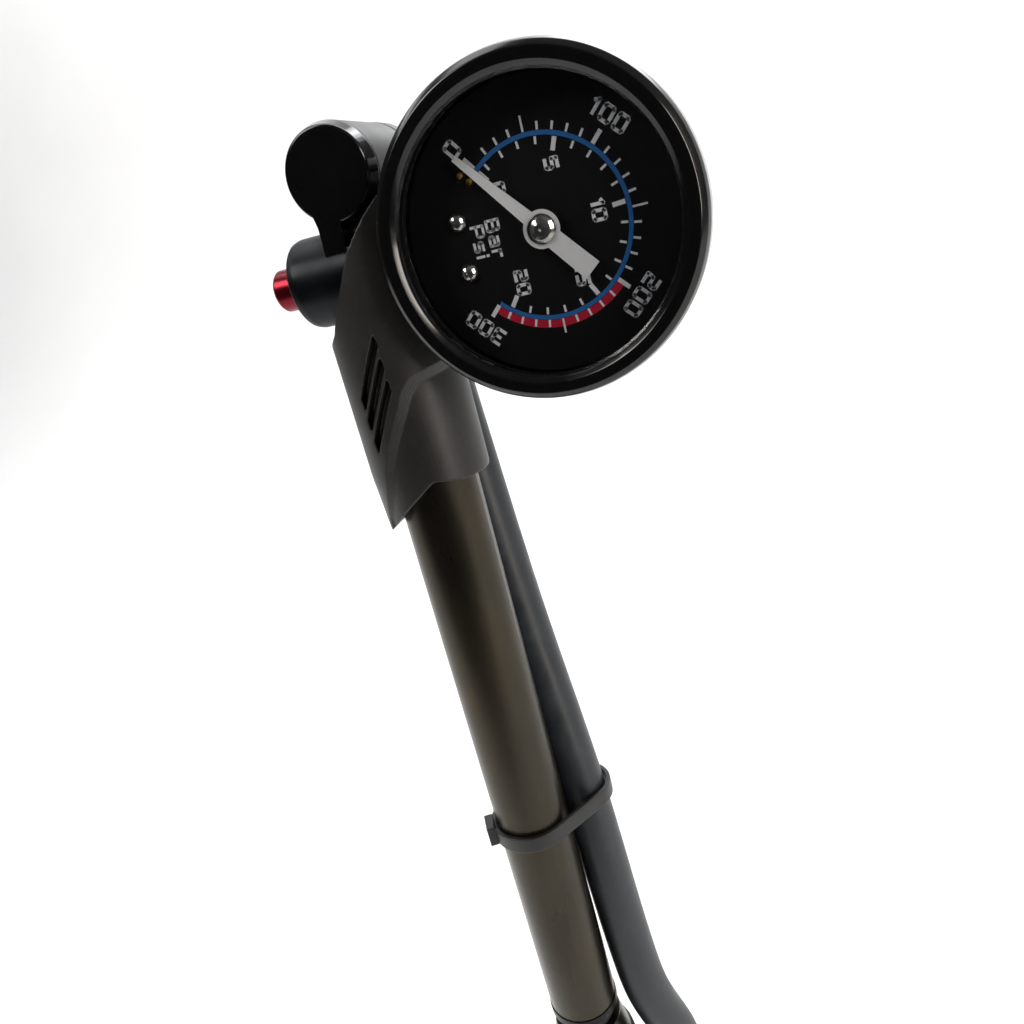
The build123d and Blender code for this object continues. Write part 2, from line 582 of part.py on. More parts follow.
# ---- movement frame -------------------------------------------------------
back = head_box(14.0, 41.0, 4.05, 4.85, -12.2, 12.2)
back -= head_box(10.0, 22.3, 3, 6, 6.5, 14) + head_box(10.0, 22.3, 3, 6, -14, -6.5)
front = head_box(22.4, 41.0, -5.3, -4.5, -12.2, 12.2)
for x, z in PILLARS:
    back -= cyl_y(0.62, 3, 6, x, z)
    front -= cyl_y(0.62, -6, -4, x, z)
for x in (PIVOT_X, GAUGE_X):
    back -= cyl_y(ARBOR_HOLE_R, 3, 6, x)
    front -= cyl_y(ARBOR_HOLE_R, -6, -4, x)
for x, z in SCREWS:
    back -= cyl_y(0.65, 3, 6, x, z)
save("movement_back_plate", back)
save("movement_front_plate", front)
save("movement_pillars", *[
    cyl_y(1.1, -4.45, 4.0, x, z) + cyl_y(0.6, -5.2, 4.8, x, z) for x, z in PILLARS
])
save("movement_screws", *[
    cyl_y(0.6, 1.0, 5.0, x, z) + cyl_y(1.2, 4.9, 5.9, x, z)
    - box(x - 2, x + 2, 5.5, 6.2, z - 0.15, z + 0.15)
    for x, z in SCREWS
])


# ---- gears ----------------------------------------------------------------
def involute(angle):
    return math.tan(angle) - angle


def gear_outline(teeth, picks):
    """(radius, degrees) points of the picked teeth, each from root to root."""
    pitch_r = GEAR_MODULE * teeth / 2
    base_r = pitch_r * math.cos(PRESSURE_ANGLE)
    root_r = pitch_r - DEDENDUM
    start_r = max(base_r, root_r)
    rise = pitch_r + ADDENDUM - start_r
    radii = [start_r + rise * i / 5.0 for i in range(6)]
    if base_r > root_r + 0.01:
        radii.insert(0, root_r)
    flank = []
    for r in radii:
        slope = math.acos(min(1.0, base_r / max(r, base_r)))
        half = TOOTH_FILL * math.pi / (2 * teeth) + involute(PRESSURE_ANGLE) - involute(slope)
        flank.append((r, math.degrees(half)))
    points = []
    for k in picks:
        centre = 360 * k / teeth
        points += [(r, centre - half) for r, half in flank]
        points += [(r, centre + half) for r, half in reversed(flank)]
    return points


# a gap faces the sector (180 degrees) at mid travel, then half a needle sweep back
PINION_TURN = 180 + 180 / PINION_TEETH + NEEDLE_SWEEP / 2
teeth = gear_outline(PINION_TEETH, range(PINION_TEETH))
pinion = slab_y([polar(r, angle + PINION_TURN) for r, angle in teeth], -2.2, -0.95)
pinion += cyl_y(ARBOR_R, -9.85, 4.75)
save("pinion_arbor", pinion)

SECTOR_ROOT_R = GEAR_MODULE * SECTOR_TEETH / 2 - DEDENDUM
SECTOR_HALF = 28.3         # degrees each side of its middle
outline = [(SECTOR_ROOT_R, -SECTOR_HALF)]
outline += gear_outline(SECTOR_TEETH, range(-5, 6))
outline += [(SECTOR_ROOT_R, SECTOR_HALF), (2.0, 120), (2.0, 180), (2.0, 240)]
sector = slab_y([polar(r, angle + REST_ANGLE, PIVOT_X) for r, angle in outline], -2.05, -1.05)
sector -= cyl_y(0.56, -3, 0, pin_x, pin_z)
sector += cyl_y(ARBOR_R, -5.2, 4.75, PIVOT_X) + cyl_y(1.5, -3.2, 0.4, PIVOT_X)
save("sector_gear", sector)

# flat spiral return spring round the pinion arbor
HAIR_TURNS = 4.25
HAIR_STEPS = 120
HAIR_HALF = 0.09           # half the strip's thickness
outer = []
inner = []
for i in range(HAIR_STEPS + 1):
    turn = HAIR_TURNS * i / HAIR_STEPS
    radius = 1.25 + 0.75 * turn
    outer.append(polar(radius + HAIR_HALF, 360 * turn))
    inner.append(polar(radius - HAIR_HALF, 360 * turn))
save("hairspring", slab_y(outer + inner[::-1], -4.0, -3.55))

# ---- needle ---------------------------------------------------------------
NEEDLE_ANGLE = 130.5
NEEDLE_TIP = 1.265 * ARC_R
NEEDLE_TAIL = -0.74 * ARC_R
# (distance along the needle, distance across it)
NEEDLE = [
    (NEEDLE_TIP, 0.5), (2.6, 1.15), (-2.6, 1.6), (NEEDLE_TAIL, 1.75),
    (NEEDLE_TAIL, -1.75), (-2.6, -1.6), (2.6, -1.15), (NEEDLE_TIP, -0.5),
]


def needle_point(along, across):
    angle = math.radians(NEEDLE_ANGLE)
    x, z = polar(along, NEEDLE_ANGLE)
    return (x - across * math.sin(angle), z + across * math.cos(angle))


needle = slab_y([needle_point(*point) for point in NEEDLE], -9.95, -9.65)
needle += cyl_y(0.214 * ARC_R, -9.95, -9.65)
needle += cyl_y(1.7, -9.7, -8.95)
needle -= cyl_y(0.8, -10.5, -8)
save("needle", needle)
save("needle_cap", rev_y([
    (0.01, -11.3), (1.0, -11.2), (1.8, -10.9), (2.4, -10.45), (0.18 * ARC_R, -9.98),
    (0.01, -9.98),
]))
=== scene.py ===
# A hand pump with a dial gauge on its head and a hose down its back. The frame is in metres, Z up;
# sizes here are in mm unless said otherwise. The barrel runs along Z. The head's hub lies along X
# at height AXIS_Z, with the bleed button at its -X end. The gauge is at GAUGE_X and its dial faces
# the front, -Y.
import json
import math
import bpy
import bmesh
import numpy as np
from mathutils import Matrix, Vector


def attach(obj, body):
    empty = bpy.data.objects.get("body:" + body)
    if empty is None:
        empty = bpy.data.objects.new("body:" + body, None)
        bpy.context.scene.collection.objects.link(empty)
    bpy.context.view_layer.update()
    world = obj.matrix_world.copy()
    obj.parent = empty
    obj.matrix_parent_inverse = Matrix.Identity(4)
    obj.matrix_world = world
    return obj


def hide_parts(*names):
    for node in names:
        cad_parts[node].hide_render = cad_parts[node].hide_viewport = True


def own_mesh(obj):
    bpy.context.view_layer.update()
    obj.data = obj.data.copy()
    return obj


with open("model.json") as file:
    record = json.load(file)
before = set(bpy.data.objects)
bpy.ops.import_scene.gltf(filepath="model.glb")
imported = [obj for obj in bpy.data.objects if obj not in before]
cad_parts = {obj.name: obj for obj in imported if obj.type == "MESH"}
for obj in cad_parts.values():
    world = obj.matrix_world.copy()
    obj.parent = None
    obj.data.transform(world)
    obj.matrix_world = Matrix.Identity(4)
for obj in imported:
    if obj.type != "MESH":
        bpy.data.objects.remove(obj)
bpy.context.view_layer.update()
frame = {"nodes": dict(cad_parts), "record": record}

MM = 0.001
AXIS_Z = 252.0                      # height of the hub's and the gauge's axes
GAUGE_X = 35.0
HUB = (0, 0, AXIS_Z)
GAUGE = (GAUGE_X, 0, AXIS_Z)
SCALE_R = 14.5                      # radius of the blue arc; the dial's print is sized from it
DIAL_Y = -8.4                       # face of the dial


# ---------------------------------------------------------------- node helpers
MATERIALS = {}


def hex_colour(code):
    """Linear RGBA from an sRGB hex code."""
    parts = [int(code[i:i + 2], 16) / 255 for i in (0, 2, 4)]
    return tuple(c / 12.92 if c <= 0.04045 else ((c + 0.055) / 1.055) ** 2.4
                 for c in parts) + (1.0,)


def scaled(colour, factor):
    return tuple(c * factor for c in colour[:3]) + (1.0,)


class Nodes:
    """A node tree with short ways to add and wire nodes."""

    def __init__(self, tree):
        self.tree = tree

    def add(self, kind, inputs=None, **attributes):
        """Adds a node; each input is given a value or the socket that feeds it."""
        node = self.tree.nodes.new("ShaderNode" + kind)
        for name, value in attributes.items():
            setattr(node, name, value)
        for key, value in (inputs or {}).items():
            if isinstance(value, bpy.types.NodeSocket):
                self.tree.links.new(value, node.inputs[key])
            else:
                node.inputs[key].default_value = value
        return node

    def ramp(self, factor, stops):
        """Stops are (position, colour), in rising order."""
        node = self.add("ValToRGB", {"Fac": factor})
        elements = node.color_ramp.elements
        elements[0].position, elements[0].color = stops[0]
        elements[1].position, elements[1].color = stops[-1]
        for position, colour in stops[1:-1]:
            elements.new(position).color = colour
        return node.outputs["Color"]

    def remap(self, value, to, source=(0.3, 0.7)):
        return self.add("MapRange", {
            "Value": value, "From Min": source[0], "From Max": source[1],
            "To Min": to[0], "To Max": to[1]}).outputs["Result"]

    def mix(self, factor, colour_a, colour_b):
        inputs = {"Factor": factor, "A": colour_a, "B": colour_b}
        return self.add("Mix", inputs, data_type="RGBA").outputs["Result"]


class MaterialNodes(Nodes):
    """A new material, kept in MATERIALS by name."""

    def __init__(self, name):
        material = bpy.data.materials.new(name)
        material.use_nodes = True
        MATERIALS[name] = material
        super().__init__(material.node_tree)
        self.tree.nodes.clear()
        self.output = self.add("OutputMaterial")
        self.source = self.add("TexCoord")

    def coords(self, scale=(1, 1, 1), turn=(0, 0, 0)):
        return self.add("Mapping", {"Vector": self.source.outputs["Object"], "Scale": scale,
                                    "Rotation": turn}).outputs["Vector"]

    def noise(self, vector, scale, detail, rough, distortion=0.0):
        return self.add("TexNoise", {
            "Vector": vector, "Scale": scale, "Detail": detail, "Roughness": rough,
            "Distortion": distortion}).outputs["Fac"]

    def tones(self, factor, base, stops):
        """A ramp of one colour; stops are (position, brightness)."""
        return self.ramp(factor, [(position, scaled(base, k)) for position, k in stops])

    def bump(self, height, strength, distance, under=None):
        """Distance is in metres; under is a normal to add to."""
        inputs = {"Height": height, "Strength": strength, "Distance": distance}
        if under is not None:
            inputs["Normal"] = under
        return self.add("Bump", inputs).outputs["Normal"]

    def surface(self, socket):
        self.tree.links.new(socket, self.output.inputs["Surface"])

    def shade(self, colour, roughness, normal, metallic=0.0, **extras):
        inputs = {"Base Color": colour, "Roughness": roughness, "Normal": normal,
                  "Metallic": metallic}
        for name, value in extras.items():
            inputs[name.replace("_", " ")] = value
        self.surface(self.add("BsdfPrincipled", inputs).outputs["BSDF"])


# ---------------------------------------------------------------- materials
# Noise scales are per metre and bump depths in metres. Spread is how far the tone drifts.
def grainy(name, code, rough, grain, spread, depth=2e-5, strength=0.5, broad_scale=60.0):
    """Cast, moulded or painted surface: fine grain, broad tone drift, uneven roughness."""
    base = hex_colour(code)
    m = MaterialNodes(name)
    place = m.coords()
    fine = m.noise(place, scale=grain, detail=3.0, rough=0.6)
    broad = m.noise(place, scale=broad_scale, detail=5.0, rough=0.6, distortion=0.4)
    colour = m.tones(broad, base, [(0.3, 1 - spread), (0.5, 1), (0.7, 1 + spread)])
    dust = m.noise(place, scale=grain * 0.35, detail=6.0, rough=0.7)
    dust_colour = scaled((base[0] + 0.05, base[1] + 0.05, base[2] + 0.048), 1.6)
    colour = m.mix(m.remap(dust, to=(0.0, 0.16), source=(0.55, 0.8)), colour, dust_colour)
    roughness = m.remap(broad, to=(rough - 0.08, rough + 0.08))
    m.shade(colour, roughness, m.bump(fine, strength=strength, distance=depth))


def turned(name, code, rough, axis, metallic=1.0, lines=5200, depth=6e-6, spread=0.18,
           anisotropic=0.5):
    """Turned or drawn metal: fine grain packed along one axis, light smudges."""
    m = MaterialNodes(name)
    stretch = [1 if letter == axis else 0.02 for letter in "XYZ"]
    line = m.noise(m.coords(stretch), scale=lines, detail=2.0, rough=0.5)
    smudge = m.noise(m.coords(), scale=90.0, detail=6.0, rough=0.65, distortion=0.6)
    colour = m.tones(smudge, hex_colour(code), [(0.3, 1 - spread), (0.5, 1), (0.7, 1 + spread)])
    roughness = m.remap(smudge, to=(rough - 0.07, rough + 0.09))
    m.shade(colour, roughness, m.bump(line, strength=0.35, distance=depth), metallic,
            Anisotropic=anisotropic)


def drawn_tube(name, code):
    """Anodised tube: drawing lines along Z, warm and cool tone drift, hairline scratches."""
    base = hex_colour(code)
    warm = (base[0] * 1.45, base[1] * 1.3, base[2] * 1.1, 1)
    m = MaterialNodes(name)
    along = m.noise(m.coords(scale=(1, 1, 0.012)), scale=1500.0, detail=3.0, rough=0.55)
    drift = m.noise(m.coords(scale=(1, 1, 0.25)), scale=55.0, detail=5.0, rough=0.6,
                    distortion=0.5)
    colour = m.ramp(drift, [(0.28, scaled(base, 0.72)), (0.5, base), (0.74, warm)])
    pores = m.noise(m.coords(), scale=7000.0, detail=2.0, rough=0.5)
    cells = m.add("TexVoronoi", {"Scale": 45.0, "Vector": m.coords((1, 1, 0.08), (0.25, 0.1, 0))},
                  feature="DISTANCE_TO_EDGE")
    scratch = m.remap(cells.outputs["Distance"], to=(1.0, 0.0), source=(0.0, 0.006))
    normal = m.bump(along, strength=0.22, distance=1e-5)
    normal = m.bump(pores, strength=0.25, distance=6e-6, under=normal)
    normal = m.bump(scratch, strength=0.12, distance=4e-6, under=normal)
    m.shade(colour, m.remap(drift, to=(0.24, 0.36)), normal, metallic=0.92, Anisotropic=0.35)


def rubber(name, code, rough=0.6, grain=3000, depth=3e-5):
    """Fine grain under patches of dust."""
    m = MaterialNodes(name)
    place = m.coords()
    fine = m.noise(place, scale=grain, detail=4.0, rough=0.6)
    dust = m.noise(place, scale=130.0, detail=7.0, rough=0.65, distortion=0.5)
    colour = m.tones(dust, hex_colour(code), [(0.35, 0.75), (0.55, 1), (0.8, 1.7)])
    roughness = m.remap(dust, to=(rough - 0.1, rough + 0.1))
    m.shade(colour, roughness, m.bump(fine, strength=0.45, distance=depth))


def glossy(name, code, rough, coat):
    """Gloss paint or moulding: orange peel, wipe marks, faint dust."""
    m = MaterialNodes(name)
    place = m.coords()
    peel = m.noise(place, scale=300.0, detail=1.0, rough=0.4)
    wipe = m.noise(m.coords(scale=(1, 0.35, 1), turn=(0.3, 0.6, 0.2)), scale=260.0, detail=4.0,
                   rough=0.6)
    dust = m.noise(place, scale=1900.0, detail=3.0, rough=0.7)
    dust_colour = (0.25, 0.25, 0.24, 1)
    colour = m.mix(m.remap(dust, to=(0.0, 0.05), source=(0.66, 0.85)), hex_colour(code),
                   dust_colour)
    roughness = m.remap(wipe, to=(rough * 0.8, rough * 1.4))
    m.shade(colour, roughness, m.bump(peel, strength=0.025, distance=2e-5),
            Coat_Weight=coat, Coat_Roughness=0.05, Specular_IOR_Level=0.38)


def glass(name):
    """Clear sheet, smeared and slightly wavy: see-through with a weak reflection."""
    m = MaterialNodes(name)
    place = m.coords()
    smear = m.noise(place, scale=70.0, detail=6.0, rough=0.7, distortion=1.2)
    wave = m.noise(place, scale=30.0, detail=2.0, rough=0.4)
    normal = m.bump(wave, strength=0.04, distance=4e-4)
    tint = m.ramp(smear, [(0.3, (0.93, 0.94, 0.95, 1)), (0.8, (0.985, 0.985, 0.99, 1))])
    mirror = m.add("BsdfGlossy", {"Color": (1, 1, 1, 1), "Normal": normal,
                                  "Roughness": m.remap(smear, to=(0.01, 0.06))})
    clear = m.add("BsdfTransparent", {"Color": tint})
    fresnel = m.add("Fresnel", {"IOR": 1.38, "Normal": normal})
    weak = m.add("Math", {0: fresnel.outputs["Fac"], 1: 0.55}, operation="MULTIPLY")
    both = m.add("MixShader", {0: weak.outputs[0], 1: clear.outputs[0], 2: mirror.outputs[0]})
    m.surface(both.outputs[0])


def satin(name, code, rough):
    """Printed satin ground: fine tooth, slight tone drift, little gloss."""
    m = MaterialNodes(name)
    place = m.coords()
    tooth = m.noise(place, scale=9000.0, detail=2.0, rough=0.5)
    drift = m.noise(place, scale=60.0, detail=4.0, rough=0.6, distortion=0.3)
    colour = m.tones(drift, hex_colour(code), [(0.3, 0.8), (0.7, 1.3)])
    m.shade(colour, m.remap(drift, to=(rough - 0.06, rough + 0.06)),
            m.bump(tooth, strength=0.12, distance=4e-6), Specular_IOR_Level=0.22)


def ink(name, code):
    """Printed ink with small dark spots."""
    m = MaterialNodes(name)
    place = m.coords()
    spot = m.noise(place, scale=5200.0, detail=4.0, rough=0.7)
    fade = m.noise(place, scale=210.0, detail=3.0, rough=0.6)
    colour = m.tones(spot, hex_colour(code), [(0.22, 0.62), (0.42, 1), (0.8, 1.06)])
    m.shade(colour, m.remap(fade, to=(0.4, 0.6)), m.bump(spot, strength=0.3, distance=1e-5))


grainy("head_coat", "1c1a18", rough=0.44, grain=3300, depth=3.5e-5, strength=0.6, spread=0.16,
       broad_scale=45)
glossy("gloss_black", "08080a", rough=0.13, coat=0.15)
turned("hub_anodise", "14171b", rough=0.42, axis="X", metallic=0.75, spread=0.12)
turned("dark_ring", "131416", rough=0.28, axis="X", metallic=0.8)
turned("dark_turned", "17181a", rough=0.32, axis="Z", metallic=0.85)
drawn_tube("barrel_anodise", "3c3830")
turned("red_anodise", "740a1c", rough=0.3, axis="X", metallic=0.8, spread=0.22, lines=3800)
turned("bare_aluminium", "a2a4a8", rough=0.34, axis="Z")
turned("ground_steel", "b8bac0", rough=0.2, axis="Z", lines=6500)
turned("brass", "b8923f", rough=0.3, axis="Y")
rubber("black_rubber", "161617")
rubber("hose_rubber", "23282e", rough=0.42, grain=2400, depth=2e-5)
rubber("strap_rubber", "0f0f10", rough=0.42)
glossy("bezel_black", "070708", rough=0.16, coat=0.1)
glass("lens_clear")
satin("dial_black", "070709", rough=0.62)
turned("chrome", "d6d3cc", rough=0.12, axis="Y", lines=700, depth=8e-7, spread=0.08,
       anisotropic=0.0)
grainy("needle_white", "fbfbfb", rough=0.5, grain=5200, depth=8e-6, strength=0.3, spread=0.04,
       broad_scale=160)
grainy("bush_polymer", "d8d2bd", rough=0.5, grain=2600, spread=0.06)
rubber("grip_rubber", "141415", rough=0.72, grain=2100, depth=6e-5)
ink("ink_white", "f8f9fb")
ink("ink_blue", "2a74bd")
ink("ink_red", "cc1638")

SLOT = {part["node"]: part["material_slot"] for part in frame["record"]["subparts"]}
BODY = {node: body for body, nodes in frame["record"]["behaviour"]["bodies"].items()
        for node in nodes}
# A slot wears the material of its own name, but for these.
SLOT_LOOK = {"dark_ring": "dark_turned", "steel": "ground_steel"}


def paint(part, material):
    part.data.materials.clear()
    part.data.materials.append(MATERIALS[material])


for node, part in frame["nodes"].items():
    slot = SLOT[node]
    paint(part, "dark_ring" if node == "hub_ring" else SLOT_LOOK.get(slot, slot))


# ---------------------------------------------------------------- mesh helpers
def link_object(name, mesh):
    part = bpy.data.objects.new(name, mesh)
    bpy.context.scene.collection.objects.link(part)
    return part


def plain_mesh(name, verts, faces, material):
    mesh = bpy.data.meshes.new(name)
    mesh.from_pydata([tuple(c * MM for c in vert) for vert in verts], [], faces)
    mesh.update()
    mesh.materials.append(MATERIALS[material])
    return link_object(name, mesh)


def smooth_mesh(name, verts, faces, material, sharp_angle=35.0):
    """Welded and smooth shaded, with edges steeper than sharp_angle degrees kept sharp."""
    part = plain_mesh(name, verts, faces, material)
    mesh = part.data
    bm = bmesh.new()
    bm.from_mesh(mesh)
    bmesh.ops.remove_doubles(bm, verts=bm.verts, dist=1e-7)
    bmesh.ops.recalc_face_normals(bm, faces=bm.faces)
    bm.to_mesh(mesh)
    bm.free()
    for polygon in mesh.polygons:
        polygon.use_smooth = True
    mesh.set_sharp_from_angle(angle=math.radians(sharp_angle))
    return part


def stand_in(part, node):
    """The new mesh shows instead of this CAD node and rides where it rides."""
    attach(part, BODY[node])
    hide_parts(node)


def rounded(outline, steps=4):
    """Closed outline of (x, y, corner radius) with its corners rounded, as (x, y)."""
    points = []
    count = len(outline)
    for i in range(count):
        before, corner, after = (np.array(outline[j % count][:2], float)
                                 for j in (i - 1, i, i + 1))
        radius = outline[i][2]
        back, ahead = before - corner, after - corner
        back_len, ahead_len = np.linalg.norm(back), np.linalg.norm(ahead)
        if radius <= 0 or back_len < 1e-6 or ahead_len < 1e-6:
            points.append(tuple(corner))
            continue
        back, ahead = back / back_len, ahead / ahead_len
        angle = math.acos(max(-1, min(1, float(back @ ahead))))
        if angle > math.pi - 0.05 or angle < 0.02:
            points.append(tuple(corner))
            continue
        cut = min(radius / math.tan(angle / 2), back_len * 0.45, ahead_len * 0.45)
        start, end = corner + back * cut, corner + ahead * cut
        for j in range(steps + 1):
            t = j / steps
            points.append(tuple((1 - t)**2 * start + 2 * t * (1 - t) * corner + t**2 * end))
    return points


def lathe(name, node, material, axis, centre, segments, outline, sharp_angle=35.0):
    """Stand-in turned about X or Y; outline is (radius, place along axis, corner radius)."""
    outline = rounded(outline)
    verts, faces = [], []
    count = len(outline)
    for s in range(segments):
        angle = 2 * math.pi * s / segments
        for radius, along in outline:
            u, v = radius * math.cos(angle), radius * math.sin(angle)
            x, y, z = (u, along, v) if axis == "Y" else (along, u, v)
            verts.append((x + centre[0], y + centre[1], z + centre[2]))
    for s in range(segments):
        this, following = s * count, (s + 1) % segments * count
        for i in range(count):
            j = (i + 1) % count
            if outline[i][0] < 1e-6 and outline[j][0] < 1e-6:
                continue            # this edge lies on the axis
            faces.append((this + i, this + j, following + j, following + i))
    stand_in(smooth_mesh(name, verts, faces, material, sharp_angle), node)


# ---------------------------------------------------------------- castings and mouldings
HEAD_VOXEL = 0.2
# CAD node, new object, material, voxel size, smoothing rounds
SOFT_PARTS = [
    ("head_shell", "head_casting", "head_coat", HEAD_VOXEL, 4),
    ("hub_collar", "hub_body", "hub_anodise", 0.16, 6),
    ("boss_trim", "boss_cap", "gloss_black", 0.13, 3),
    ("hose_strap", "strap_band", "strap_rubber", 0.14, 5),
    ("swivel_elbow", "elbow_casting", "head_coat", 0.22, 4),
]


def soft_copy(node, name, material, voxel, rounds):
    """A copy of the CAD solid with its edges rolled over."""
    mesh = frame["nodes"][node].data.copy()
    bm = bmesh.new()
    bm.from_mesh(mesh)
    bmesh.ops.remove_doubles(bm, verts=bm.verts, dist=2e-6)
    bm.to_mesh(mesh)
    bm.free()
    mesh.materials.clear()
    part = link_object(name, mesh)
    remesh = part.modifiers.new("remesh", "REMESH")
    remesh.mode = "VOXEL"
    remesh.voxel_size = voxel * MM
    smooth = part.modifiers.new("smooth", "SMOOTH")
    smooth.factor = 0.5
    smooth.iterations = rounds
    graph = bpy.context.evaluated_depsgraph_get()
    softened = bpy.data.meshes.new_from_object(part.evaluated_get(graph))
    part.modifiers.clear()
    part.data = softened
    for polygon in softened.polygons:
        polygon.use_smooth = True
    paint(part, material)
    stand_in(part, node)


for soft_part in SOFT_PARTS:
    soft_copy(*soft_part)


# ---------------------------------------------------------------- gauge body
# Outlines are (radius, y, corner radius).
lathe("bezel_ring", "gauge_bezel", "bezel_black", "Y", GAUGE, 256, [
    (25.25, -7.6, 0.1), (26.9, -7.6, 0.2), (27.3, -8.3, 0.4), (27.3, -13.8, 0.9),
    (26.9, -15.2, 0.7), (25.9, -16.0, 0.6), (24.2, -16.0, 0.5), (23.35, -15.3, 0.2),
    (23.0, -14.6, 0.2), (23.0, -13.2, 0.1), (25.25, -13.2, 0.1)])
lathe("case_cup", "gauge_case", "bezel_black", "Y", GAUGE, 256, [
    (0, 7.5, 0), (23.6, 7.5, 0.8), (25.2, 5.9, 0.8), (25.2, -9.5, 0.2),
    (23.9, -9.5, 0.2), (23.9, 5.3, 0.3), (22.9, 6.3, 0.3), (0, 6.3, 0)])
lathe("lens_disc", "gauge_lens", "lens_clear", "Y", GAUGE, 192, [
    (0, -13.15, 0), (25.2, -13.15, 0.1), (25.2, -11.65, 0.1), (0, -11.65, 0)])
lathe("lens_seal", "lens_gasket", "black_rubber", "Y", GAUGE, 192, [
    (23.95, -11.6, 0.2), (25.2, -11.6, 0.2), (25.2, -9.55, 0.2), (23.95, -9.55, 0.2)])

# ---------------------------------------------------------------- dial print
# Points on the dial are (x, z) about its centre. The scale runs clockwise seen from the front.
FULL_PSI = 300
SCALE_START = 135.0                 # degrees from +X towards +Z
DEGREES_PER_PSI = 270 / FULL_PSI
RED_PSI = 200                       # where the red band starts
PSI_PER_BAR = 14.5038
ZERO_PSI = 7.2                      # the printed zero stands where an even scale would have 7.2


def print_flat(name, polygons, material, thick):
    """Thin printed shapes on the face of the dial, open at the back."""
    verts, faces = [], []
    for polygon in polygons:
        first = len(verts)
        count = len(polygon)
        for y in (DIAL_Y - thick, DIAL_Y):
            verts += [(GAUGE_X + x, y, AXIS_Z + z) for x, z in polygon]
        faces.append(tuple(range(first, first + count)))
        for i in range(count):
            j = (i + 1) % count
            faces.append((first + i, first + count + i, first + count + j, first + j))
    part = plain_mesh(name, verts, faces, material)
    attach(part, "pump_body")


def on_dial(psi, radius):
    """Point at a reading; radius is in scale radii."""
    angle = math.radians(SCALE_START - DEGREES_PER_PSI * psi)
    return radius * SCALE_R * np.array([math.cos(angle), math.sin(angle)])


def arc_band(inner, outer, start, end, steps):
    """Ring sector from one reading to another, as four-sided pieces."""
    pieces = []
    for i in range(steps):
        a, b = (start + (end - start) * j / steps for j in (i, i + 1))
        pieces.append([on_dial(a, inner), on_dial(a, outer), on_dial(b, outer), on_dial(b, inner)])
    return pieces


def stroke_box(start, end, width, overrun=0.0):
    """Straight stroke; overrun lengthens both ends, in half widths."""
    along = (end - start) / np.linalg.norm(end - start)
    side = np.array([-along[1], along[0]]) * width / 2
    extra = along * width / 2 * overrun
    start, end = start - extra, end + extra
    return [start + side, end + side, end - side, start - side]


def tick(psi, inner, outer, width):
    """All but psi in scale radii."""
    return stroke_box(on_dial(psi, inner), on_dial(psi, outer), width * SCALE_R)


print_flat("scale_arc_blue", arc_band(0.975, 1.025, ZERO_PSI - 0.6, FULL_PSI, steps=120),
           "ink_blue", thick=0.02)
print_flat("scale_band_red", arc_band(1.030, 1.122, RED_PSI, FULL_PSI, steps=48),
           "ink_red", thick=0.02)
ticks = []
for i in range(31):                 # every 10 psi, outside the arc
    if i == 1:
        continue                    # the shifted zero takes its place
    psi = 10 * i or ZERO_PSI
    if i % 10 == 0:
        ticks.append(tick(psi, inner=1.03, outer=1.19, width=0.050))
    elif i % 5 == 0:
        ticks.append(tick(psi, inner=1.03, outer=1.20, width=0.024))
    else:
        ticks.append(tick(psi, inner=1.03, outer=1.115, width=0.027))
for bar in range(21):               # every bar, inside the arc
    psi = PSI_PER_BAR * bar or ZERO_PSI
    if bar % 5 == 0:
        ticks.append(tick(psi, inner=0.82, outer=0.965, width=0.052))
    else:
        ticks.append(tick(psi, inner=0.885, outer=0.965, width=0.027))
print_flat("scale_ticks", ticks, "ink_white", thick=0.035)

# Letter: (width, strokes); points are (across, up), with capitals one unit high
GLYPHS = {
    "0": (1.0, [[(0.14, 0), (0.86, 0), (1, 0.12), (1, 0.88), (0.86, 1), (0.14, 1), (0, 0.88),
                 (0, 0.12), (0.14, 0)]]),
    "1": (0.52, [[(0.0, 0.80), (0.38, 1), (0.38, 0)]]),
    "2": (1.0, [[(0, 1), (0.86, 1), (1, 0.88), (1, 0.62), (0.86, 0.5), (0.14, 0.5), (0, 0.4),
                 (0, 0), (1, 0)]]),
    "3": (1.0, [[(0, 1), (0.86, 1), (1, 0.9), (1, 0.62), (0.88, 0.51), (0.25, 0.51)],
                [(0.88, 0.51), (1, 0.4), (1, 0.1), (0.86, 0), (0, 0)]]),
    "5": (1.0, [[(1, 1), (0, 1), (0, 0.56), (0.86, 0.56), (1, 0.45), (1, 0.12), (0.86, 0),
                 (0, 0)]]),
    "B": (1.0, [[(0, 0), (0, 1), (0.8, 1), (0.93, 0.9), (0.93, 0.62), (0.8, 0.52), (0, 0.52)],
                [(0.8, 0.52), (1, 0.4), (1, 0.12), (0.86, 0), (0, 0)]]),
    "a": (0.85, [[(0.05, 0.7), (0.72, 0.7), (0.85, 0.58), (0.85, 0), (0.13, 0), (0, 0.1),
                  (0, 0.28), (0.13, 0.38), (0.85, 0.38)]]),
    "r": (0.6, [[(0, 0), (0, 0.72)], [(0, 0.56), (0.16, 0.7), (0.6, 0.7)]]),
    "P": (1.0, [[(0, 0), (0, 1), (0.86, 1), (1, 0.88), (1, 0.56), (0.86, 0.44), (0, 0.44)]]),
    "s": (0.8, [[(0.8, 0.7), (0.12, 0.7), (0, 0.6), (0, 0.46), (0.12, 0.37), (0.68, 0.37),
                 (0.8, 0.28), (0.8, 0.1), (0.68, 0), (0, 0)]]),
    "i": (0.12, [[(0.05, 0), (0.05, 0.62)], [(0.05, 0.86), (0.05, 1.0)]]),
}
